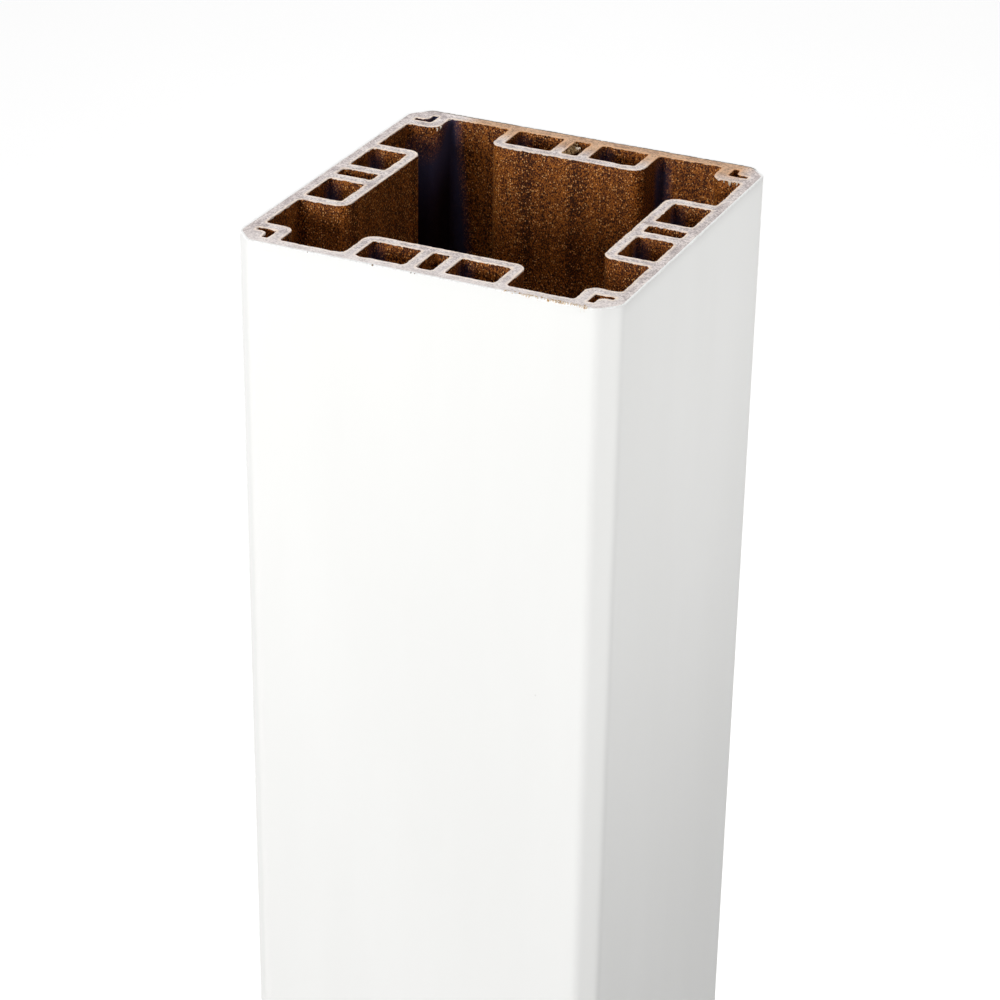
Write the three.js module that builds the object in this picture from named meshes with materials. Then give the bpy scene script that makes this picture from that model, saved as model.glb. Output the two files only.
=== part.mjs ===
// Post sleeve: a square hollow extrusion that slips over a timber post and dresses it.
// It is brown wood-plastic composite with a thin white cap layer fused to its four outer faces.
// Units are millimetres. +Z runs up the length and the origin is at the centre of the lower end.
import * as THREE from 'three';

// Driving dimensions
const OUTER_WIDTH = 139.7; // across the white faces
const LENGTH = 1066.8; // between the two sawn ends
const CAP_THICKNESS = 0.9; // white layer, all round
const WALL_THICKNESS = 4.8; // outer wall, white layer included
const CHAMFER_LEG = 6.6; // 45 degree flat on each outer arris, measured along either face
const CHAMFER_BLEND = 2.4; // radius where that flat meets the faces

// Hollow pad in the middle of each wall, which bears on the post
const PAD_WIDTH = 59;
const PAD_DEPTH = 22.6; // from the outer face to the pad's inner face
const PAD_CORNER_RADIUS = 4.8;
const CELL_WIDTH = 18;
const CELL_DEPTH = 13.8;
const CELL_RADIUS = 1.1;
const SLOT_WIDTH = 6; // narrow cell between the two wide ones
const SLOT_RADIUS = 0.9;
const WEB_THICKNESS = 4.4; // between the slot and a wide cell

// Solid boss in each corner, with an L-shaped relief slot
const BOSS_SIZE = 16.4; // from the outer faces
const BOSS_CORNER_RADIUS = 4.2;
const RELIEF_START = WALL_THICKNESS;
const RELIEF_ELBOW = 11.8; // from the outer faces to the far side of each leg
const RELIEF_WIDTH = 2.2;
const RELIEF_ELBOW_RADIUS = 1;
const RELIEF_END_RADIUS = 0.45;
const RELIEF_ISLAND_RADIUS = 2.5;

const ROOT_RADIUS = 1.5; // fillet where pads and bosses leave the wall

const HALF_WIDTH = OUTER_WIDTH / 2;
const QUARTER_TURN = Math.PI / 2;
const SIDES = 4;
const ARC_TOLERANCE = 0.03; // how far the chords of a rounded corner may lie from its arc

// Replaces each corner { x, y, r } of a closed outline by points on an arc of radius r.
function roundCorners(corners) {
  const points = [];
  corners.forEach((corner, i) => {
    const here = new THREE.Vector2(corner.x, corner.y);
    const before = corners[(i + corners.length - 1) % corners.length];
    const after = corners[(i + 1) % corners.length];
    const toBefore = new THREE.Vector2(before.x, before.y).sub(here).normalize();
    const toAfter = new THREE.Vector2(after.x, after.y).sub(here).normalize();
    const opening = Math.acos(toBefore.dot(toAfter));
    const setback = corner.r / Math.tan(opening / 2);
    const middle = toBefore.clone().add(toAfter).normalize();
    const centre = here.clone().addScaledVector(middle, corner.r / Math.sin(opening / 2));
    const start = here.clone().addScaledVector(toBefore, setback).sub(centre);
    const turn = Math.sign(toAfter.cross(toBefore)) * (Math.PI - opening);
    const largestStep = 2 * Math.acos(1 - ARC_TOLERANCE / corner.r);
    const steps = Math.ceil(Math.abs(turn) / largestStep);
    for (let k = 0; k <= steps; k++) {
      const spoke = start.clone().rotateAround(new THREE.Vector2(), (turn * k) / steps);
      points.push(spoke.add(centre));
    }
  });
  return points;
}

// Turns an outline drawn for the front wall to wall number side, counted anticlockwise from above.
function onSide(points, side) {
  const centre = new THREE.Vector2();
  return points.map((p) => p.clone().rotateAround(centre, side * QUARTER_TURN));
}

// Outer outline of the section, or the same outline moved inwards by inset.
function outerOutline(inset) {
  const half = HALF_WIDTH - inset;
  const leg = CHAMFER_LEG - inset * (2 - Math.SQRT2);
  const blend = CHAMFER_BLEND - inset;
  const corners = [];
  for (let side = 0; side < SIDES; side++) {
    const ends = [new THREE.Vector2(leg - half, -half), new THREE.Vector2(half - leg, -half)];
    onSide(ends, side).forEach((p) => corners.push({ x: p.x, y: p.y, r: blend }));
  }
  return roundCorners(corners);
}

// Outline of the main opening: wall, pad and wall again on each side, and a boss in each corner.
function openingOutline() {
  const bossFace = HALF_WIDTH - BOSS_SIZE;
  const wallFace = -(HALF_WIDTH - WALL_THICKNESS);
  const padFace = -(HALF_WIDTH - PAD_DEPTH);
  const padEnd = PAD_WIDTH / 2;
  const stretch = [
    { x: -bossFace, y: -bossFace, r: BOSS_CORNER_RADIUS },
    { x: -bossFace, y: wallFace, r: ROOT_RADIUS },
    { x: -padEnd, y: wallFace, r: ROOT_RADIUS },
    { x: -padEnd, y: padFace, r: PAD_CORNER_RADIUS },
    { x: padEnd, y: padFace, r: PAD_CORNER_RADIUS },
    { x: padEnd, y: wallFace, r: ROOT_RADIUS },
    { x: bossFace, y: wallFace, r: ROOT_RADIUS },
  ];
  const corners = [];
  for (let side = 0; side < SIDES; side++) {
    stretch.forEach(({ x, y, r }) => {
      const [p] = onSide([new THREE.Vector2(x, y)], side);
      corners.push({ x: p.x, y: p.y, r });
    });
  }
  return roundCorners(corners);
}

// A closed cell in the front pad, centred at x.
function cellOutline(x, width, radius) {
  const outer = -(HALF_WIDTH - WALL_THICKNESS);
  const inner = outer + CELL_DEPTH;
  return roundCorners([
    { x: x - width / 2, y: outer, r: radius },
    { x: x + width / 2, y: outer, r: radius },
    { x: x + width / 2, y: inner, r: radius },
    { x: x - width / 2, y: inner, r: radius },
  ]);
}

// The L-shaped relief in the front left corner, with its elbow towards the middle of the sleeve.
function reliefOutline() {
  const start = RELIEF_START - HALF_WIDTH;
  const elbow = RELIEF_ELBOW - HALF_WIDTH;
  const island = elbow - RELIEF_WIDTH;
  return roundCorners([
    { x: elbow, y: start, r: RELIEF_END_RADIUS },
    { x: elbow, y: elbow, r: RELIEF_ELBOW_RADIUS },
    { x: start, y: elbow, r: RELIEF_END_RADIUS },
    { x: start, y: island, r: RELIEF_END_RADIUS },
    { x: island, y: island, r: RELIEF_ISLAND_RADIUS },
    { x: island, y: start, r: RELIEF_END_RADIUS },
  ]);
}

// Closed cells of all four pads and reliefs of all four corners.
function cavityOutlines() {
  const cellOffset = SLOT_WIDTH / 2 + WEB_THICKNESS + CELL_WIDTH / 2;
  const perSide = [
    cellOutline(-cellOffset, CELL_WIDTH, CELL_RADIUS),
    cellOutline(0, SLOT_WIDTH, SLOT_RADIUS),
    cellOutline(cellOffset, CELL_WIDTH, CELL_RADIUS),
    reliefOutline(),
  ];
  const outlines = [];
  for (let side = 0; side < SIDES; side++) {
    perSide.forEach((outline) => outlines.push(onSide(outline, side)));
  }
  return outlines;
}

// A section with its holes, run straight up the whole length.
function extrudeSection(outline, holes) {
  const section = new THREE.Shape(outline);
  section.holes = holes.map((hole) => new THREE.Path(hole));
  return new THREE.ExtrudeGeometry(section, { depth: LENGTH, bevelEnabled: false });
}

// The brown body: one extrusion with the main opening, twelve cells and four corner reliefs.
function makeCore() {
  const geometry = extrudeSection(outerOutline(CAP_THICKNESS), [openingOutline(), ...cavityOutlines()]);
  const composite = new THREE.MeshStandardMaterial({ color: 0x8a6346, roughness: 0.8, metalness: 0 });
  const core = new THREE.Mesh(geometry, composite);
  core.name = 'core';
  return core;
}

// The white skin fused round the outside of the core, face to face with it over its whole length.
function makeCapLayer() {
  const geometry = extrudeSection(outerOutline(0), [outerOutline(CAP_THICKNESS)]);
  const white = new THREE.MeshStandardMaterial({ color: 0xf1f2ef, roughness: 0.45, metalness: 0 });
  const capLayer = new THREE.Mesh(geometry, white);
  capLayer.name = 'cap_layer';
  return capLayer;
}

const postSleeve = new THREE.Group();
postSleeve.name = 'post_sleeve';
postSleeve.add(makeCore(), makeCapLayer());

export default postSleeve;
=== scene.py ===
"""Looks of the post sleeve: the sawn, flecked composite body and the white skin fused round it.

The section is drawn in millimetres, with the sizes of the CAD solids but rounder outer corners,
then swept up the length of the CAD skin. Each outline carries wear: its sawn arris is broken
back into the material by a depth that varies along it, so the ends look cut and not drawn.
"""

import math
import random

import bmesh
import bpy
import numpy as np
from mathutils import Matrix, Quaternion, Vector, geometry, kdtree, noise


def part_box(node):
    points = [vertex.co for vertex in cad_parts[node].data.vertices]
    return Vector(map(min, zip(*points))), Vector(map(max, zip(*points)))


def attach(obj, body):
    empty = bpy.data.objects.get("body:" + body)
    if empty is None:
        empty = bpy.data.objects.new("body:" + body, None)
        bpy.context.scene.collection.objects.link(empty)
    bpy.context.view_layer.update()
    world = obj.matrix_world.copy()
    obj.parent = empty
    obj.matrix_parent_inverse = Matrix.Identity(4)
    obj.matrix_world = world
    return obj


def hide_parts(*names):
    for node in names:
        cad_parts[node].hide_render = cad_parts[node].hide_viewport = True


MM = 0.001

# Section, in millimetres
CAP_THICKNESS = 0.9
WALL_THICKNESS = 4.8
CHAMFER_LEG = 6.6
CHAMFER_BLEND = 4.5
PAD_WIDTH = 59
PAD_DEPTH = 22.6
PAD_CORNER_RADIUS = 4.8
CELL_WIDTH = 18
CELL_DEPTH = 13.8
CELL_RADIUS = 1.1
SLOT_WIDTH = 6
SLOT_RADIUS = 0.9
WEB_THICKNESS = 4.4
BOSS_SIZE = 16.4
BOSS_CORNER_RADIUS = 4.2
RELIEF_START = WALL_THICKNESS
RELIEF_ELBOW = 11.8
RELIEF_WIDTH = 2.2
RELIEF_ELBOW_RADIUS = 1
RELIEF_END_RADIUS = 0.45
RELIEF_ISLAND_RADIUS = 2.5
ROOT_RADIUS = 1.5
SIDES = 4

# Meshing, in millimetres
WALL_STEP = 0.65  # spacing of points along the opening and the cavities
HIDDEN_STEP = 1.3  # spacing along the joint between body and skin
SKIN_STEP = 0.9  # spacing along the outside
END_STEP = 0.95  # spacing of points over the sawn faces
JITTER = 0.3  # how far those points leave their grid, as a share of their spacing
ARC_TURN = math.pi / 16  # largest turn between two points of a rounded corner
SHARP_ANGLE = math.radians(38)
OUTER_RIM = 9.0  # stands for far from any inner arris
WALLS, SAWN = 0, 1  # material slots of a swept piece

# Wear of the sawn arrises, in millimetres: back into the material, and down from the sawn face
JOINT_WEAR = (0.02, 0.08)
OPENING_WEAR = (0.24, 0.32)
CAVITY_WEAR = (0.22, 0.32)
SKIN_WEAR = (0.26, 0.32)
COARSE_BREAKS = 3.2  # size of the coarse breakage along an arris
FINE_BREAKS = 0.9
# Shares of those depths: the least wear, and what coarse and fine breakage add to it
BACK_WEIGHTS = (0.25, 1.1, 1.3)
DOWN_WEIGHTS = (0.35, 1.2, 1.5)

# Textures drawn and sawn into the composite, in millimetres
DIE_MARK_DEPTH = 0.05
DIE_MARK_WIDTH = 1.1
SAW_MARKS = ((0.05, 0.8, 21), (0.04, 4.0, 31))  # depth, size and seed of each of two layers

# Seeds
JOINT_SEED = 1.0
OPENING_SEED = 2.0
CAVITY_SEED = 3.0
DIE_MARK_SEED = 3.3
SKIN_SEED = 40.0
LOWER_END_SHIFT = 50  # so that the lower end is worn unlike the upper one
UPPER_END_SEED = 11
LOWER_END_SEED = 12
DEBRIS_SEED = 5

# Bites out of the composite's inner arrises, or torn lips where size is negative: x, y, width, size
TORN_ARRISES = (
    (51.3, 11.4, 2.2, 0.7),
    (51.3, 15.0, 1.4, -0.5),
    (51.3, -18.5, 2.0, 0.5),
    (65.0, -7.5, 2.2, -1.0),
    (-51.3, 18.0, 2.6, 0.5),
    (-51.3, -14.0, 2.4, 0.5),
    (-22.0, -65.0, 2.4, 0.4),
    (12.0, -51.3, 2.0, 0.4),
    (-47.3, 5.0, 2.4, -0.3),
    (47.3, -3.5, 1.2, 0.4),
    (20.0, 51.3, 2.4, 0.5),
    (-30.0, -65.0, 3.0, -0.4),
)
TORN_FALL = 0.1
# Bites out of the skin's front arris: x, width, size
SKIN_CHIPS = ((43.5, 4.0, 0.30), (50.5, 4.5, 0.40), (58.0, 2.5, 0.25), (-14.0, 1.5, 0.2))
SKIN_CHIP_FALL = 1.6  # times the size of each

# Debris, in millimetres. Stretches of the front arris that are frayed: from x, to x, how many fibres
FRONT_BURRS = ((28, 36, 10), (36, 45, 36), (45, 52, 44), (52, 57, 26), (57, 60, 12))
FRONT_HAIRS = (57.2, 60.0, 14)
# Dark crumbs on the front arris: x, size
FRONT_CRUMBS = ((-16.3, 0.6), (-2.3, 0.4), (-0.9, 0.4), (-40.4, 0.35))
# Torn bits that hang inside the corner bosses: x, y, z from the sawn face, length, tone
BOSS_BURRS = (
    (-53.9, 54.6, -0.5, 1.3, 1.0),
    (-53.2, 56.0, -0.1, 1.1, 1.0),
    (60.6, 53.1, -0.1, 1.5, 1.0),
    (63.4, 53.1, -0.1, 1.0, 0.95),
    (58.8, 53.0, 0.0, 0.8, 0.8),
)
BITS_PER_BURR = 3
SLOT_CRUMBS = 60
SLOT_LUMPS = 5
# Faint weld lines across the inner face of the right pad: from x, y to x, y
WELD_LINES = ((47.5, 4.6, 51.0, 3.9), (47.4, -4.7, 51.2, -4.0))
WELD_LEVEL = -0.06

# Colours of the extruded composite: a ramp for its wood flour, then flecks and painted shade
WOOD_FLOUR = ((0.42, (0.018, 0.004, 0.001)), (0.5, (0.105, 0.025, 0.004)), (0.58, (0.46, 0.15, 0.024)))
GOLDEN_FLECK = (0.96, 0.50, 0.18)
DARK_FLECK = (0.025, 0.006, 0.002)
# Painted shade: the bluish near-black of the deep corners that lie in shadow
PAINTED_SHADE = (0.045, 0.045, 0.10)

# Colours of the sawn composite
SAWN_GREYS = ((0.41, (0.40, 0.34, 0.34)), (0.5, (0.68, 0.60, 0.58)), (0.58, (0.92, 0.85, 0.82)))
GREY_FLECK = (0.22, 0.18, 0.17)
BROKEN_RIM = (0.98, 0.83, 0.70)
PALE_FRONT = (0.94, 0.88, 0.85)
# Painted reflection: a warm tan tint for light reflected onto the back wall's sawn face
WARM_REFLECTION = (0.84, 0.57, 0.35)

# Colours of the skin, outside and where it is sawn
SKIN_WHITES = ((0.35, (0.828, 0.828, 0.812)), (0.65, (0.845, 0.845, 0.830)))
SKIN_SPECK = (0.45, 0.44, 0.40)
SAWN_WHITES = ((0.35, (0.84, 0.83, 0.82)), (0.55, (0.98, 0.98, 0.97)))
# Grey for patches along the back edge of the cap layer's cut
BACK_EDGE_GREY = (0.17, 0.15, 0.11)

# Other colours
DEBRIS_TONES = ((0.0, (0.10, 0.06, 0.03)), (0.5, (0.52, 0.33, 0.15)), (1.0, (0.90, 0.82, 0.70)))
FLOOR_GREYS = ((0.3, 0.86), (0.7, 0.88))

# Camera, from the perspective of the photograph: metres from the middle of the upper end, degrees
CAMERA_OFFSET = (0.3983, -0.8706, 0.3833)
CAMERA_AZIMUTH = 24.65
CAMERA_ELEVATION = 27.5
CAMERA_ROLL = 0.94
CAMERA_LENS = 107.8
CAMERA_SENSOR = 36

# Lights, in metres, degrees and watts: name, how far below the upper end it aims, azimuth,
# elevation, distance, size, power
LIGHTS = (
    ("key", 0.12, -14, 15, 1.3, 0.36, 10.2),
    ("upper", 0.12, -15, 50, 1.0, 0.5, 1.8),
    ("over_back", 0.12, -135, 56, 1.6, 0.9, 15.0),
    ("right", 0.03, 90, 0, 0.36, 0.2, 0.345),
    ("right_high", 0.0, 95, 38, 0.9, 0.4, 1.2),
    ("rear", 0.12, -165, 8, 2.2, 1.0, 3.0),
)
# One more hangs over the floor behind the part: how far behind, height, size, power
BACKDROP_LIGHT = (3.2, 2.6, 3.5, 28)
BACKDROP_STRENGTH = 0.95
FLOOR_REACH = 12.0
FLOOR_GLOW = 0.74  # keeps the floor white, as a lit studio floor is


def round_corners(corners):
    """Points of a closed outline whose corners (x, y, radius) are rounded by arcs."""
    points = []
    count = len(corners)
    for i, (x, y, radius) in enumerate(corners):
        here = Vector((x, y))
        to_before = (Vector(corners[i - 1][:2]) - here).normalized()
        to_after = (Vector(corners[(i + 1) % count][:2]) - here).normalized()
        opening = to_before.angle(to_after)
        setback = radius / math.tan(opening / 2)
        centre = here + (to_before + to_after).normalized() * radius / math.sin(opening / 2)
        start = here + to_before * setback - centre
        side = to_after.x * to_before.y - to_after.y * to_before.x
        turn = math.copysign(math.pi - opening, side)
        steps = max(2, math.ceil(abs(turn) / ARC_TURN))
        for k in range(steps + 1):
            points.append(centre + Matrix.Rotation(turn * k / steps, 2) @ start)
    return points


def on_side(points, side):
    """Turns points drawn for the front wall to wall number side."""
    turn = Matrix.Rotation(side * math.pi / 2, 2)
    return [turn @ p for p in points]


def outer_outline(half_width, inset):
    """The square with chamfered, rounded corners, set in by inset."""
    half = half_width - inset
    leg = CHAMFER_LEG - inset * (2 - math.sqrt(2))
    corners = []
    for side in range(SIDES):
        for p in on_side([Vector((leg - half, -half)), Vector((half - leg, -half))], side):
            corners.append((p.x, p.y, CHAMFER_BLEND - inset))
    return round_corners(corners)


def opening_outline(half_width):
    """The opening for the post, with a pad in the middle of each wall and a boss in each corner."""
    boss_face = half_width - BOSS_SIZE
    wall_face = WALL_THICKNESS - half_width
    pad_face = PAD_DEPTH - half_width
    pad_end = PAD_WIDTH / 2
    stretch = [
        (-boss_face, -boss_face, BOSS_CORNER_RADIUS),
        (-boss_face, wall_face, ROOT_RADIUS),
        (-pad_end, wall_face, ROOT_RADIUS),
        (-pad_end, pad_face, PAD_CORNER_RADIUS),
        (pad_end, pad_face, PAD_CORNER_RADIUS),
        (pad_end, wall_face, ROOT_RADIUS),
        (boss_face, wall_face, ROOT_RADIUS),
    ]
    corners = []
    for side in range(SIDES):
        for x, y, radius in stretch:
            (p,) = on_side([Vector((x, y))], side)
            corners.append((p.x, p.y, radius))
    return round_corners(corners)


def cell_outline(half_width, x, width, radius):
    """A cell or slot of the front pad, centred on x."""
    outer = WALL_THICKNESS - half_width
    inner = outer + CELL_DEPTH
    left, right = x - width / 2, x + width / 2
    return round_corners(
        [(left, outer, radius), (right, outer, radius), (right, inner, radius), (left, inner, radius)]
    )


def relief_outline(half_width):
    """The L-shaped relief in the front left boss."""
    start = RELIEF_START - half_width
    elbow = RELIEF_ELBOW - half_width
    island = elbow - RELIEF_WIDTH
    return round_corners(
        [
            (elbow, start, RELIEF_END_RADIUS),
            (elbow, elbow, RELIEF_ELBOW_RADIUS),
            (start, elbow, RELIEF_END_RADIUS),
            (start, island, RELIEF_END_RADIUS),
            (island, island, RELIEF_ISLAND_RADIUS),
            (island, start, RELIEF_END_RADIUS),
        ]
    )


def cavity_outlines(half_width):
    """The cells, slots and reliefs of all four sides."""
    offset = SLOT_WIDTH / 2 + WEB_THICKNESS + CELL_WIDTH / 2
    per_side = [
        cell_outline(half_width, -offset, CELL_WIDTH, CELL_RADIUS),
        cell_outline(half_width, 0, SLOT_WIDTH, SLOT_RADIUS),
        cell_outline(half_width, offset, CELL_WIDTH, CELL_RADIUS),
        relief_outline(half_width),
    ]
    return [on_side(outline, side) for side in range(SIDES) for outline in per_side]


def shaded_corners(half_width):
    """Plan places of the corners down which shade is painted onto the composite, nearly black.

    They are the back left corner of each cell, and the corner to the right of the back pad.
    """
    near = SLOT_WIDTH / 2 + WEB_THICKNESS
    far = near + CELL_WIDTH
    outer = half_width - WALL_THICKNESS
    inner = outer - CELL_DEPTH
    corners = [(x, y) for y in (-inner, outer) for x in (-far, near)]
    corners += [(x, y) for x in (-outer, inner) for y in (-near, far)]
    return corners + [(PAD_WIDTH / 2, outer)]


def resample(points, step):
    """The closed outline again, with no two neighbours further apart than step."""
    made = []
    for i, here in enumerate(points):
        after = points[(i + 1) % len(points)]
        run = (after - here).length
        if run < 1e-6:
            continue
        parts = max(1, math.ceil(run / step))
        made.extend(here.lerp(after, k / parts) for k in range(parts))
    return made


def signed_area(points):
    """Area of a closed outline, positive where it runs anticlockwise."""
    pairs = zip(points, points[1:] + points[:1])
    return sum(a.x * b.y - b.x * a.y for a, b in pairs) / 2


def material_normals(points, material_inside):
    """Unit vectors along the outline that point into the material."""
    sign = 1 if (signed_area(points) > 0) == material_inside else -1
    normals = []
    for i in range(len(points)):
        along = points[(i + 1) % len(points)] - points[i - 1]
        normals.append((Vector((-along.y, along.x)) * sign).normalized())
    return normals


def grain(point, scale, seed):
    """Smooth noise from about -1 to 1 at a plan point."""
    return noise.noise(Vector((point.x / scale, point.y / scale, seed)))


class Outline:
    """One closed outline of a section, with the wear of its two sawn arrises."""

    def __init__(self, points, step, wear, seed, material_inside=False):
        self.points = resample(points, step)
        self.normals = material_normals(self.points, material_inside)
        self.material_inside = material_inside
        self.back, self.down = wear
        self.seed = seed
        self.chips = []

    def chip(self, x, y, width, size, fall):
        """Adds a bite out of the upper arris near plan point (x, y). A negative size is a torn lip."""
        self.chips.append((Vector((x, y)), width, size, fall))

    def arris(self, i, upper):
        """How far the arris is broken back into the material at point i, and how far down."""
        p = self.points[i]
        seed = self.seed if upper else self.seed + LOWER_END_SHIFT
        coarse = max(0.0, grain(p, COARSE_BREAKS, seed) + 0.1)
        fine = max(0.0, grain(p, FINE_BREAKS, seed + 7) + 0.15)
        breakage = (1, coarse, fine)
        back = self.back * sum(weight * part for weight, part in zip(BACK_WEIGHTS, breakage))
        down = self.down * sum(weight * part for weight, part in zip(DOWN_WEIGHTS, breakage))
        if upper:
            for centre, width, size, fall in self.chips:
                near = max(0.0, 1 - ((p - centre).length / width) ** 2)
                back += size * near
                down += fall * near
        return back, down


class Sweep:
    """A closed mesh swept from a section's outlines, with sawn ends and broken arrises.

    The first outline is the outer one. die_marks is how deep the lines are that the die draws down
    the walls, in millimetres.
    """

    FALLS = (0.0, 0.45, 1.0)  # rings of an arris, as shares of its fall from the sawn face
    BACKS = (1.0, 0.35, 0.0)  # and how far back into the material each of them is
    LEVELS = (4.0, 18.0, 70.0)  # further rings, in millimetres from either end

    def __init__(self, outlines, length, die_marks=0.0):
        self.length = length
        self.die_marks = die_marks
        self.verts, self.rims, self.faces, self.slots = [], [], [], []
        loops = {True: [], False: []}
        for outline in outlines:
            upper_loop, lower_loop = self.add_walls(outline)
            loops[True].append(upper_loop)
            loops[False].append(lower_loop)
        for upper in (True, False):
            self.add_end(loops[upper], upper)

    def rings(self, outline, upper):
        """The rings near one end, from the sawn face inwards."""
        count = range(len(outline.points))
        lines = [max(0.0, grain(p, DIE_MARK_WIDTH, DIE_MARK_SEED)) for p in outline.points]
        marks = [self.die_marks * line for line in lines]
        arrises = [outline.arris(i, upper) for i in count]
        made = []
        for fall, back in zip(self.FALLS, self.BACKS):
            made.append([(arrises[i][0] * back + marks[i], arrises[i][1] * fall) for i in count])
        for level in self.LEVELS:
            made.append([(marks[i], level) for i in count])
        placed = []
        for ring in made:
            flat = [outline.points[i] + outline.normals[i] * ring[i][0] for i in count]
            heights = [self.length - ring[i][1] if upper else ring[i][1] for i in count]
            placed.append([Vector((flat[i].x, flat[i].y, heights[i])) for i in count])
        return placed

    def add_walls(self, outline):
        """Adds the walls of one outline, and returns the vertex numbers of its two end loops."""
        count = len(outline.points)
        rings = self.rings(outline, True) + self.rings(outline, False)[::-1]
        first = len(self.verts)
        for ring in rings:
            self.verts.extend(ring)
            self.rims.extend([OUTER_RIM if outline.material_inside else 0.0] * count)
        flip = (signed_area(outline.points) > 0) != outline.material_inside
        arris_bands = len(self.FALLS) - 1
        bands = len(rings) - 1
        for r in range(bands):
            on_arris = r < arris_bands or r >= bands - arris_bands
            for i in range(count):
                j = (i + 1) % count
                above, below = first + r * count, first + (r + 1) * count
                face = (above + i, below + i, below + j, above + j)
                self.faces.append(face[::-1] if flip else face)
                self.slots.append(SAWN if on_arris else WALLS)
        last = first + bands * count
        return range(first, first + count), range(last, last + count)

    def add_end(self, loops, upper):
        """Fills one sawn end between its loops, over scattered points that carry the saw's texture."""
        polygons = [[self.verts[i].to_2d() for i in loop] for loop in loops]
        known = [i for loop in loops for i in loop]
        rim_points = [p for polygon in polygons for p in polygon]
        all_rims = nearest_finder(rim_points)
        scattered = scatter(polygons, random.Random(UPPER_END_SEED if upper else LOWER_END_SEED))
        scattered = [p for p in scattered if all_rims.find(p.to_3d())[2] > 0.5 * END_STEP]
        made = geometry.delaunay_2d_cdt(rim_points + scattered, loop_edges(loops), [], 0, 1e-5)
        points, triangles, origins = made[0], made[2], made[3]
        inner_rims = nearest_finder([p for polygon in polygons[1:] for p in polygon])
        index = {}
        for k, p in enumerate(points):
            source = min(origins[k]) if origins[k] else len(known)
            if source < len(known):
                index[k] = known[source]
                continue
            index[k] = len(self.verts)
            saw = sum(depth * (1 + grain(p, size, seed)) for depth, size, seed in SAW_MARKS)
            self.verts.append(Vector((p.x, p.y, self.length - saw if upper else saw)))
            self.rims.append(inner_rims.find(p.to_3d())[2])
        middles = np.array([sum((points[k] for k in t), Vector((0, 0))) / len(t) for t in triangles])
        for t, solid in zip(triangles, in_section(middles, polygons)):
            if not solid:
                continue
            ids = [index[k] for k in t]
            if (signed_area([points[k] for k in t]) > 0) != upper:
                ids.reverse()
            self.faces.append(tuple(ids))
            self.slots.append(SAWN)

    def make(self, name, wall_material, sawn_material):
        """The piece, with a point attribute rim: how far a point is from an inner arris."""
        mesh = bpy.data.meshes.new(name)
        mesh.from_pydata([v * MM for v in self.verts], [], self.faces)
        mesh.materials.append(wall_material)
        mesh.materials.append(sawn_material)
        mesh.polygons.foreach_set("material_index", self.slots)
        mesh.polygons.foreach_set("use_smooth", [True] * len(self.faces))
        mesh.set_sharp_from_angle(angle=SHARP_ANGLE)
        rim = mesh.attributes.new("rim", "FLOAT", "POINT")
        rim.data.foreach_set("value", self.rims)
        return add_object(name, mesh)


def loop_edges(loops):
    """The edges of closed loops whose points are numbered one loop after another."""
    edges, start = [], 0
    for loop in loops:
        count = len(loop)
        edges.extend((start + k, start + (k + 1) % count) for k in range(count))
        start += count
    return edges


def nearest_finder(points):
    """A search tree of plan points."""
    tree = kdtree.KDTree(len(points))
    for k, p in enumerate(points):
        tree.insert(p.to_3d(), k)
    tree.balance()
    return tree


def scatter(polygons, rng):
    """Jittered points of a triangular grid that lie in the section."""
    low = min(p.x for p in polygons[0])
    high = max(p.x for p in polygons[0])
    pitch = END_STEP * math.sqrt(3) / 2
    points = []
    for row in range(math.ceil((high - low) / pitch)):
        for column in range(math.ceil((high - low) / END_STEP)):
            x = low + (column + (row % 2) / 2 + rng.uniform(-JITTER, JITTER)) * END_STEP
            y = low + row * pitch + rng.uniform(-JITTER, JITTER) * END_STEP
            points.append(Vector((x, y)))
    solid = in_section(np.array(points), polygons)
    return [p for p, keep in zip(points, solid) if keep]


def in_section(points, polygons):
    """For each plan point, whether it is within the first polygon and in none of the others."""
    solid = np.ones(len(points), bool)
    for k, polygon in enumerate(polygons):
        a = np.array(polygon)
        b = np.roll(a, -1, axis=0)
        odd = np.zeros(len(points), bool)
        for (ax, ay), (bx, by) in zip(a, b):
            if ay == by:
                continue
            spans = (ay > points[:, 1]) != (by > points[:, 1])
            odd ^= spans & (points[:, 0] < ax + (points[:, 1] - ay) * (bx - ax) / (by - ay))
        solid &= odd == (k == 0)
    return solid


def add_object(name, data):
    """A new object of the scene."""
    made = bpy.data.objects.new(name, data)
    bpy.context.scene.collection.objects.link(made)
    return made


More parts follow.
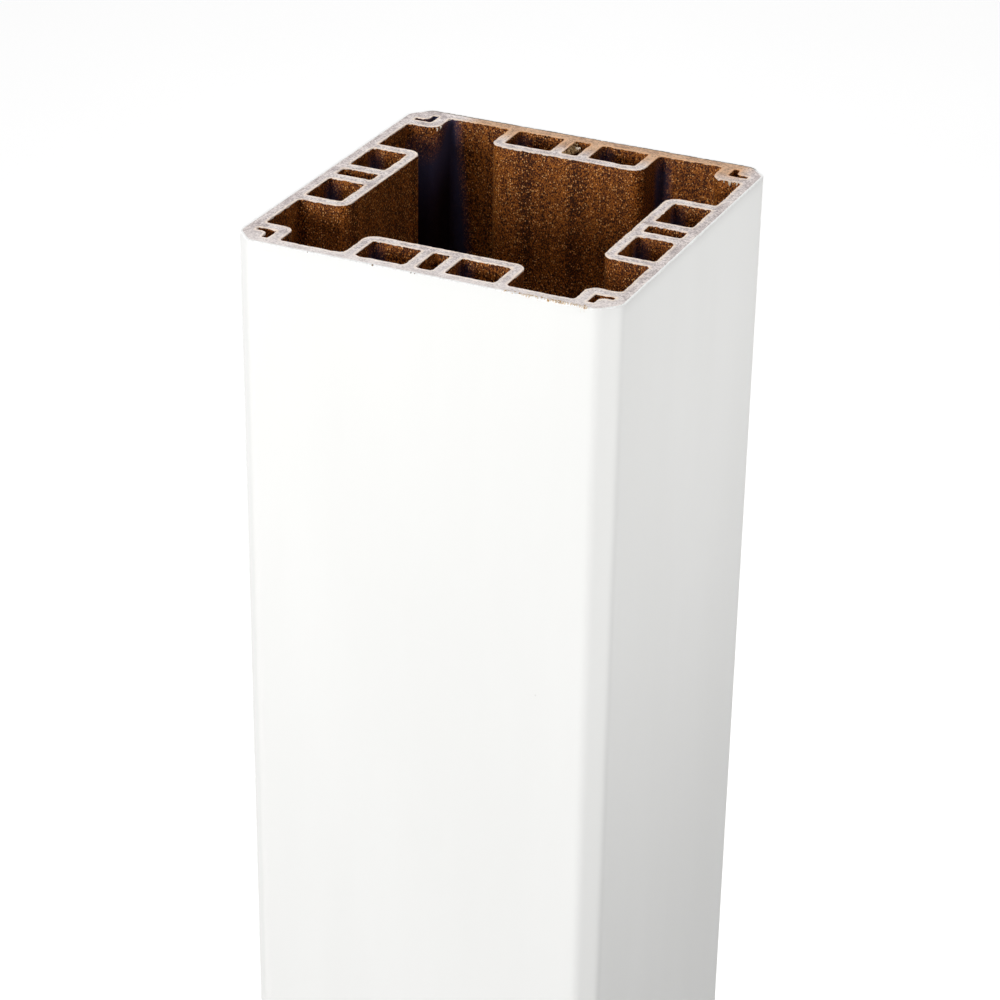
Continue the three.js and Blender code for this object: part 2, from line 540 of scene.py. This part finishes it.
class Debris:
    """Crumbs and torn fibres left by the saw, in one mesh.

    Sizes are in millimetres, and z is from the sawn face at height top, upwards. Each bit has a
    tone, from brown at 0 to cream at 1.
    """

    FIBRE_RINGS = 5
    FIBRE_SIDES = 3
    CRUMB_UNEVENNESS = 0.13  # of a crumb's size
    FIBRE_BOW = 0.1  # of a fibre's length

    def __init__(self, top, seed):
        self.top = top
        self.rng = random.Random(seed)
        self.bm = bmesh.new()
        self.tone = self.bm.verts.layers.float.new("tone")

    def thrown(self, reach):
        """A vector whose three parts are each drawn from -reach to reach."""
        return Vector([self.rng.uniform(-reach, reach) for _ in range(3)])

    def crumb(self, x, y, z, size, tone):
        """An uneven grain about size across."""
        shape = Matrix.Diagonal([self.rng.uniform(0.7, 1.3) for _ in range(3)]).to_4x4()
        place = Matrix.Translation((x, y, self.top + z)) @ shape
        made = bmesh.ops.create_icosphere(self.bm, subdivisions=2, radius=size / 2, matrix=place)
        for v in made["verts"]:
            v.co += self.thrown(self.CRUMB_UNEVENNESS) * size
            v[self.tone] = tone

    def fibre(self, start, end, width, tone):
        """A tapering sliver between two points, bowed a little to one side."""
        start, end = (Vector((x, y, self.top + z)) for x, y, z in (start, end))
        bow = self.thrown(self.FIBRE_BOW) * (end - start).length
        rings = []
        for k in range(self.FIBRE_RINGS):
            share = k / (self.FIBRE_RINGS - 1)
            centre = start.lerp(end, share) + bow * 4 * share * (1 - share)
            radius = width / 2 * (1 - 0.8 * share)
            ring = []
            for corner in range(self.FIBRE_SIDES):
                angle = corner * 2 * math.pi / self.FIBRE_SIDES + share
                side = Vector((math.cos(angle), math.sin(angle), math.cos(angle + 1))) * radius
                v = self.bm.verts.new(centre + side)
                v[self.tone] = tone
                ring.append(v)
            rings.append(ring)
        for near, far in zip(rings, rings[1:]):
            for corner in range(self.FIBRE_SIDES):
                after = (corner + 1) % self.FIBRE_SIDES
                self.bm.faces.new((near[corner], near[after], far[after], far[corner]))
        self.bm.faces.new(rings[0][::-1])
        self.bm.faces.new(rings[-1])

    def make(self, name, material):
        """The piece, with tone as a point attribute."""
        bmesh.ops.recalc_face_normals(self.bm, faces=self.bm.faces)
        bmesh.ops.scale(self.bm, vec=(MM, MM, MM), verts=self.bm.verts)
        mesh = bpy.data.meshes.new(name)
        self.bm.to_mesh(mesh)
        self.bm.free()
        mesh.materials.append(material)
        return add_object(name, mesh)


class Shader:
    """A Principled material and short ways to add nodes to it."""

    COLOUR_A, COLOUR_B, COLOUR_RESULT = 6, 7, 2  # the colour sockets of a Mix node

    def __init__(self, name):
        self.material = bpy.data.materials.new(name)
        self.material.use_nodes = True
        self.tree = self.material.node_tree
        self.surface = self.tree.nodes["Principled BSDF"]
        self.place = self.add("ShaderNodeTexCoord").outputs["Object"]

    def add(self, kind, inputs=None, **settings):
        node = self.tree.nodes.new(kind)
        for key, value in settings.items():
            setattr(node, key, value)
        for key, value in (inputs or {}).items():
            self.put(node.inputs[key], value)
        return node

    def put(self, socket, value):
        if isinstance(value, bpy.types.NodeSocket):
            self.tree.links.new(value, socket)
        else:
            socket.default_value = value

    def stretched(self, scale):
        """Object coordinates scaled by (x, y, z)."""
        node = self.add("ShaderNodeMapping", {"Vector": self.place, "Scale": scale})
        return node.outputs["Vector"]

    def coordinates(self):
        """Object coordinates x, y and z, in millimetres."""
        node = self.add("ShaderNodeSeparateXYZ", {"Vector": self.stretched((1 / MM,) * 3)})
        return node.outputs["X"], node.outputs["Y"], node.outputs["Z"]

    def noise(self, size_mm, stretch=(1, 1, 1), detail=2, roughness=0.5):
        """Noise whose blobs are about size_mm across before they are stretched."""
        inputs = {
            "Vector": self.stretched(tuple(1 / s for s in stretch)),
            "Scale": 1 / (size_mm * MM),
            "Detail": detail,
            "Roughness": roughness,
        }
        return self.add("ShaderNodeTexNoise", inputs).outputs["Fac"]

    def flecks(self, size_mm, stretch, share, radius, strength):
        """Scattered specks: a mask, up to strength, of the middles of a share of a texture's cells."""
        vector = self.stretched(tuple(1 / s for s in stretch))
        cells = self.add("ShaderNodeTexVoronoi", {"Vector": vector, "Scale": 1 / (size_mm * MM)})
        middle = self.math("LESS_THAN", cells.outputs["Distance"], radius)
        tint = self.add("ShaderNodeSeparateColor", {"Color": cells.outputs["Color"]})
        chosen = self.math("LESS_THAN", tint.outputs["Red"], share)
        return self.product(middle, chosen, strength)

    def share(self, value, start, end):
        """How much of the way from start to end a value has come, from 0 to 1."""
        inputs = {"Value": value, "From Min": start, "From Max": end}
        return self.add("ShaderNodeMapRange", inputs).outputs["Result"]

    def nearest(self, x, y, spots):
        """Distance in plan from x, y to the nearest of some spots (x, y)."""
        here = self.add("ShaderNodeCombineXYZ", {"X": x, "Y": y}).outputs["Vector"]
        distance = 1000.0
        for spot in spots:
            node = self.add("ShaderNodeVectorMath", {0: here, 1: (*spot, 0)}, operation="DISTANCE")
            distance = self.math("MINIMUM", distance, node.outputs["Value"])
        return distance

    def math(self, operation, a, b):
        return self.add("ShaderNodeMath", {0: a, 1: b}, operation=operation).outputs["Value"]

    def product(self, first, *others):
        for other in others:
            first = self.math("MULTIPLY", first, other)
        return first

    def weighted(self, a, b, share_of_b):
        """Two values added in shares that make one."""
        return self.math("ADD", self.product(a, 1 - share_of_b), self.product(b, share_of_b))

    def ramp(self, value, stops):
        """A colour or grey ramp. stops are (position, colour or grey)."""
        node = self.add("ShaderNodeValToRGB", {"Fac": value})
        elements = node.color_ramp.elements
        while len(elements) < len(stops):
            elements.new(0.5)
        for element, (position, colour) in zip(elements, stops):
            element.position = position
            element.color = (*colour, 1) if isinstance(colour, tuple) else (colour,) * 3 + (1,)
        return node.outputs["Color"]

    def mix(self, share, a, b, blend="MIX"):
        node = self.add("ShaderNodeMix", data_type="RGBA", blend_type=blend)
        self.put(node.inputs["Factor"], share)
        for socket, value in ((self.COLOUR_A, a), (self.COLOUR_B, b)):
            self.put(node.inputs[socket], (*value, 1) if isinstance(value, tuple) else value)
        return node.outputs[self.COLOUR_RESULT]

    def bump(self, height, strength, distance_mm):
        inputs = {"Height": height, "Strength": strength, "Distance": distance_mm * MM}
        node = self.add("ShaderNodeBump", inputs)
        self.put(self.surface.inputs["Normal"], node.outputs["Normal"])

    def finish(self, colour, roughness, specular=0.5):
        """Sets the surface, and returns the material."""
        self.put(self.surface.inputs["Base Color"], colour)
        self.surface.inputs["Roughness"].default_value = roughness
        self.surface.inputs["Specular IOR Level"].default_value = specular
        return self.material


def composite_wall(half_width, length):
    """Extruded brown composite: dense golden flecks on dark wood flour, soft drawn streaks, and
    painted shade down its deep corners.
    """
    s = Shader("composite_wall")
    streaks = s.noise(6.0, (1, 1, 40))
    grains = s.noise(0.46, (1, 1, 1.4), roughness=0.8)
    colour = s.ramp(s.weighted(streaks, grains, 0.84), WOOD_FLOUR)
    colour = s.mix(s.flecks(0.78, (1, 1, 1.3), 0.5, 0.27, 0.85), colour, GOLDEN_FLECK)
    colour = s.mix(s.flecks(0.9, (1, 1, 1.4), 0.45, 0.30, 0.7), colour, DARK_FLECK)
    # Painted shade: the deep corners and the recess by the back left boss are darkened where they lie
    # in shadow
    colour = s.mix(painted_shade(s, half_width, length), colour, PAINTED_SHADE)
    s.bump(s.math("ADD", grains, s.product(streaks, 0.8)), 0.5, 0.12)
    return s.finish(colour, 0.6, 0.15)


def painted_shade(s, half_width, length):
    """How much shade is painted onto the composite: down the shaded corners, and round the back left
    boss.

    There the painted shade widens with depth, and in front of the boss's face it starts lower down.
    """
    x, y, z = s.coordinates()
    depth = s.math("SUBTRACT", length, z)
    near_corner = s.share(s.nearest(x, y, shaded_corners(half_width)), 5.5, 1.5)
    below_cut = s.share(depth, 0.5, 7)
    not_too_deep = s.share(depth, 110, 30)
    in_corner = s.product(near_corner, below_cut, not_too_deep, 0.9)
    across = s.math("SUBTRACT", x, s.product(depth, 0.1))
    at_left = s.share(across, -48.5, -53.0)
    at_back = s.share(y, 36, 44)
    behind_face = s.math("SUBTRACT", y, half_width - BOSS_SIZE)
    deep_enough = s.share(s.math("ADD", depth, s.product(behind_face, 1.3)), 3, 16)
    by_boss = s.product(at_left, at_back, deep_enough)
    return s.product(s.math("MAXIMUM", by_boss, in_corner), 0.97)


def sawn_end():
    """Sawn composite: pinkish grey and speckled, with broken warm rims.

    It is paler along the front wall, and tinted tan along the back wall as a painted warm reflection.
    """
    s = Shader("sawn_composite")
    blotches = s.noise(5.0, detail=3)
    grains = s.noise(0.5, (1.5, 1, 1), detail=3, roughness=0.75)
    colour = s.ramp(s.weighted(blotches, grains, 0.7), SAWN_GREYS)
    colour = s.mix(s.flecks(0.9, (1, 1.3, 1), 0.4, 0.30, 0.6), colour, GREY_FLECK)
    rim = s.add("ShaderNodeAttribute", attribute_name="rim").outputs["Fac"]
    near_rim = s.ramp(s.math("DIVIDE", rim, 1.2), ((0.0, 0.95), (0.3, 0.8), (1.0, 0.0)))
    broken = s.ramp(s.noise(2.2, detail=3), ((0.36, 0.35), (0.52, 1.0)))
    colour = s.mix(s.product(near_rim, broken), colour, BROKEN_RIM)
    x, y, _ = s.coordinates()
    colour = s.mix(s.product(s.share(y, -58, -65), 0.4), colour, PALE_FRONT)
    # Painted reflection: the back wall's sawn face is tinted warm tan
    warm_reflection_share = s.product(s.share(y, 52, 60), s.share(x, -50, -42), s.share(x, 66, 60), 0.92)
    colour = s.mix(warm_reflection_share, colour, WARM_REFLECTION, "MULTIPLY")
    s.bump(grains, 0.6, 0.12)
    return s.finish(colour, 0.85, 0.25)


def white_skin():
    """Satin white cap layer with a faint drawn texture and the odd grey speck."""
    s = Shader("white_cap_layer")
    colour = s.ramp(s.noise(30.0, (1, 1, 6), detail=3), SKIN_WHITES)
    colour = s.mix(s.flecks(9.0, (1, 1, 1), 0.08, 0.03, 0.4), colour, SKIN_SPECK)
    s.bump(s.noise(0.9, (1, 1, 3)), 0.06, 0.05)
    return s.finish(colour, 0.5, 0.35)


def sawn_skin():
    """The cut through the cap layer: clean white, but grey in patches along the back."""
    s = Shader("sawn_cap_layer")
    colour = s.ramp(s.noise(0.7), SAWN_WHITES)
    _, y, _ = s.coordinates()
    patches = s.ramp(s.noise(6.0), ((0.3, 0.6), (0.55, 1.0)))
    # Greyer in patches along the back edge of the cut
    colour = s.mix(s.product(s.share(y, 66.5, 68.8), patches), colour, BACK_EDGE_GREY)
    return s.finish(colour, 0.8)


def saw_debris():
    """Wood flour and torn plastic, coloured by tone."""
    s = Shader("saw_debris")
    tone = s.add("ShaderNodeAttribute", attribute_name="tone").outputs["Fac"]
    return s.finish(s.ramp(tone, DEBRIS_TONES), 0.9)


def floor_material():
    """A pale floor with a glow of its own."""
    s = Shader("pale_floor")
    s.surface.inputs["Emission Color"].default_value = (1, 1, 1, 1)
    s.surface.inputs["Emission Strength"].default_value = FLOOR_GLOW
    return s.finish(s.ramp(s.noise(400.0), FLOOR_GREYS), 0.8)


def joint_outline(half_width, material_inside):
    """Where body and skin meet. Both pieces are worn alike there."""
    points = outer_outline(half_width, CAP_THICKNESS)
    return Outline(points, HIDDEN_STEP, JOINT_WEAR, JOINT_SEED, material_inside)


def make_body(half_width, length):
    """The composite body, with its opening, cells and reliefs."""
    inner = [Outline(opening_outline(half_width), WALL_STEP, OPENING_WEAR, OPENING_SEED)]
    for k, points in enumerate(cavity_outlines(half_width)):
        inner.append(Outline(points, WALL_STEP, CAVITY_WEAR, CAVITY_SEED + k))
    for x, y, width, size in TORN_ARRISES:
        for outline in inner:
            outline.chip(x, y, width, size, TORN_FALL)
    outlines = [joint_outline(half_width, True), *inner]
    sweep = Sweep(outlines, length, die_marks=DIE_MARK_DEPTH)
    body = sweep.make("composite_body", composite_wall(half_width, length), sawn_end())
    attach(body, "root")
    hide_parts("core")


def make_skin(half_width, length):
    """The white layer, face to face with the body."""
    outer = Outline(outer_outline(half_width, 0), SKIN_STEP, SKIN_WEAR, SKIN_SEED, True)
    for x, width, size in SKIN_CHIPS:
        outer.chip(x, -half_width, width, size, SKIN_CHIP_FALL * size)
    sweep = Sweep([outer, joint_outline(half_width, False)], length)
    skin = sweep.make("white_skin", white_skin(), sawn_skin())
    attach(skin, "root")
    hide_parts("cap_layer")


def make_debris(half_width, length):
    """The saw's crumbs and burrs, where the photograph shows them."""
    debris = Debris(length, DEBRIS_SEED)
    fray_front(debris, -half_width)
    fill_slot(debris, half_width - WALL_THICKNESS - CELL_DEPTH)
    tear_bosses(debris)
    for x, y, end_x, end_y in WELD_LINES:
        debris.fibre((x, y, WELD_LEVEL), (end_x, end_y, WELD_LEVEL), 0.28, 0.3)
    piece = debris.make("saw_debris", saw_debris())
    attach(piece, "root")


def fray_front(debris, front):
    """Short fibres and crumbs over the front arris, hairs at their right end, and dark crumbs."""
    draw = debris.rng.uniform
    for low, high, count in FRONT_BURRS:
        for _ in range(count):
            x = draw(low, high)
            inner = (x, front + draw(0.2, 1.5), draw(-0.05, 0.05))
            outer = (x + draw(-1.4, 1.4), front + draw(-0.1, 0.3), -draw(0.0, 1.0))
            debris.fibre(inner, outer, draw(0.22, 0.5), draw(0.45, 0.95))
            if debris.rng.random() < 0.7:
                y = front + draw(0.15, 1.4)
                debris.crumb(x, y, draw(-0.25, -0.1), draw(0.3, 0.75), draw(0.4, 0.9))
    low, high, count = FRONT_HAIRS
    for _ in range(count):
        x = draw(low, high)
        inner = (x, front + draw(0.1, 0.7), 0.0)
        outer = (x + draw(-0.9, 0.6), front - draw(-0.1, 0.1), -draw(0.8, 2.2))
        debris.fibre(inner, outer, draw(0.14, 0.28), draw(0.15, 0.9))
    for x, size in FRONT_CRUMBS:
        debris.crumb(x, front + 0.1, -0.1, size, 0.1)


def fill_slot(debris, inner_end):
    """Tan crumbs heaped against the left wall of the back pad's slot, and some cream lumps."""
    draw = debris.rng.uniform
    wall = -SLOT_WIDTH / 2
    for _ in range(SLOT_CRUMBS):
        share = draw(0, 1)
        x = wall + draw(0, 1) * (0.8 + 2.4 * share)
        y = inner_end + CELL_DEPTH * (0.08 + 0.86 * share)
        depth = 0.5 + 1.1 * (x - wall) * draw(0.6, 1.2)
        debris.crumb(x, y, -depth, draw(0.5, 1.2), draw(0.22, 0.55))
    for _ in range(SLOT_LUMPS):
        y = inner_end + CELL_DEPTH * draw(0.56, 0.74)
        debris.crumb(draw(-1.4, 0.2), y, -1.2, draw(0.5, 0.9), 0.9)


def tear_bosses(debris):
    """Torn bits that hang from the arrises of two corner bosses."""
    draw = debris.rng.uniform
    for x, y, z, run, tone in BOSS_BURRS:
        for _ in range(BITS_PER_BURR):
            start = (x + draw(-0.3, 0.3), y + draw(-0.1, 0.3), z)
            end = (x + draw(-0.5, 0.5), y - 0.25, z - run * draw(0.7, 1.1))
            debris.fibre(start, end, draw(0.5, 0.85), tone)


def make_floor():
    """A wide square floor that the part stands on."""
    mesh = bpy.data.meshes.new("floor")
    around = ((-1, -1), (1, -1), (1, 1), (-1, 1))
    corners = [(x * FLOOR_REACH, y * FLOOR_REACH, 0) for x, y in around]
    mesh.from_pydata(corners, [], [(0, 1, 2, 3)])
    mesh.materials.append(floor_material())
    floor = add_object("floor", mesh)


def facing(azimuth, elevation, roll):
    """Rotation of a camera or light that looks in from azimuth and elevation, in degrees."""
    a, e = math.radians(azimuth), math.radians(elevation)
    back = Vector((math.sin(a) * math.cos(e), -math.cos(a) * math.cos(e), math.sin(e)))
    return (-back).to_track_quat("-Z", "Y") @ Quaternion((0, 0, 1), math.radians(roll))


def make_camera(top):
    """The camera of the photograph. top is the middle of the upper end, in metres."""
    data = bpy.data.cameras.new("camera")
    data.lens = CAMERA_LENS
    data.sensor_width = CAMERA_SENSOR
    data.clip_start = 0.05
    data.clip_end = 60
    camera = add_object("camera", data)
    camera.location = top + Vector(CAMERA_OFFSET)
    camera.rotation_mode = "QUATERNION"
    camera.rotation_quaternion = facing(CAMERA_AZIMUTH, CAMERA_ELEVATION, CAMERA_ROLL)
    bpy.context.scene.camera = camera


def add_light(name, aim, azimuth, elevation, distance, size, power):
    """A soft square light that faces aim from a distance."""
    data = bpy.data.lights.new(name, "AREA")
    data.size = size
    data.energy = power
    light = add_object(name, data)
    light.rotation_mode = "QUATERNION"
    light.rotation_quaternion = facing(azimuth, elevation, 0)
    light.location = aim + light.rotation_quaternion @ Vector((0, 0, distance))
    light.visible_camera = False


def make_studio(top):
    """A white surround that only the camera sees, and soft lights round the upper end."""
    world = bpy.data.worlds.new("studio")
    world.use_nodes = True
    backdrop = world.node_tree.nodes["Background"]
    backdrop.inputs["Color"].default_value = (1, 1, 1, 1)
    backdrop.inputs["Strength"].default_value = BACKDROP_STRENGTH
    world.cycles_visibility.diffuse = False
    world.cycles_visibility.glossy = False
    scene = bpy.context.scene
    scene.world = world
    scene.view_settings.view_transform = "Standard"
    scene.view_settings.look = "None"
    for name, drop, azimuth, elevation, distance, size, power in LIGHTS:
        add_light(name, top - Vector((0, 0, drop)), azimuth, elevation, distance, size, power)
    behind, height, size, power = BACKDROP_LIGHT
    aim = facing(CAMERA_AZIMUTH, 0, 0) @ Vector((0, 0, -behind))
    add_light("backdrop", Vector((aim.x, aim.y, 0)), 0, 90, height, size, power)


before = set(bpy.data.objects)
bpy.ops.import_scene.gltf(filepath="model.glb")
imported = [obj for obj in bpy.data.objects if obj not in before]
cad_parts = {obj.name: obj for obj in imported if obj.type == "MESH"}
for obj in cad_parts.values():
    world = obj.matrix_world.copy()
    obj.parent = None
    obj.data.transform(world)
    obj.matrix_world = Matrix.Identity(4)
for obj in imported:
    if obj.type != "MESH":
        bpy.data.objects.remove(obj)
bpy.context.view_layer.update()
low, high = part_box("cap_layer")
sleeve_top = Vector(((low.x + high.x) / 2, (low.y + high.y) / 2, high.z))
outer_half = (high.x - low.x) / 2 / MM
sleeve_length = (high.z - low.z) / MM

make_camera(sleeve_top)
make_studio(sleeve_top)
make_floor()
make_body(outer_half, sleeve_length)
make_skin(outer_half, sleeve_length)
make_debris(outer_half, sleeve_length)
